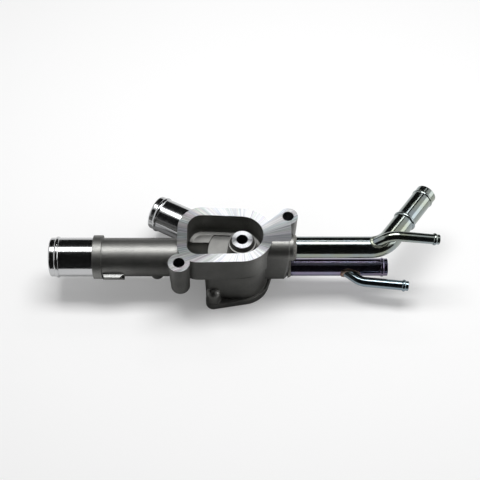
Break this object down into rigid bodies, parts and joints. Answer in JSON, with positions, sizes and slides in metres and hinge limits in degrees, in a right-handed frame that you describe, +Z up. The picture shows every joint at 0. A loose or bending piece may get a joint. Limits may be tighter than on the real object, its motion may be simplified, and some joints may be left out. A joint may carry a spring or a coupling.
{
  "type": "engine coolant housing",
  "caption": "Cast aluminium coolant housing with a milled engine face, hose necks, a valve chamber below and pressed-in steel pipes with brazed branches.",
  "frame": {"origin": "on the valve axis, in the plane of the cover face that the part stands on", "axes": "+Z up along the valve axis to the engine face, +X along the steel pipes, away from the radiator neck, +Y towards the side that the heater pipe bends to"},
  "size_m": [0.3255, 0.1001, 0.0727],
  "materials": {
    "cast_aluminium": "die cast, with milled and turned faces",
    "plated_steel": "bright zinc plate",
    "tinted_steel": "zinc plate with a blue to violet tint",
    "dull_braze": "plated over, dull",
    "copper_braze": "bare braze metal, coppery",
    "sealant": "cured thread and pipe sealant, matt"
  },
  "bodies": {
    "root": {"housing": "cast_aluminium", "heater_pipe": "plated_steel", "heater_branch": "plated_steel", "heater_braze": "dull_braze", "heater_sealant": "sealant", "return_pipe": "tinted_steel", "return_branch": "plated_steel", "return_braze": "copper_braze", "return_sealant": "sealant"}
  },
  "joints": []
}
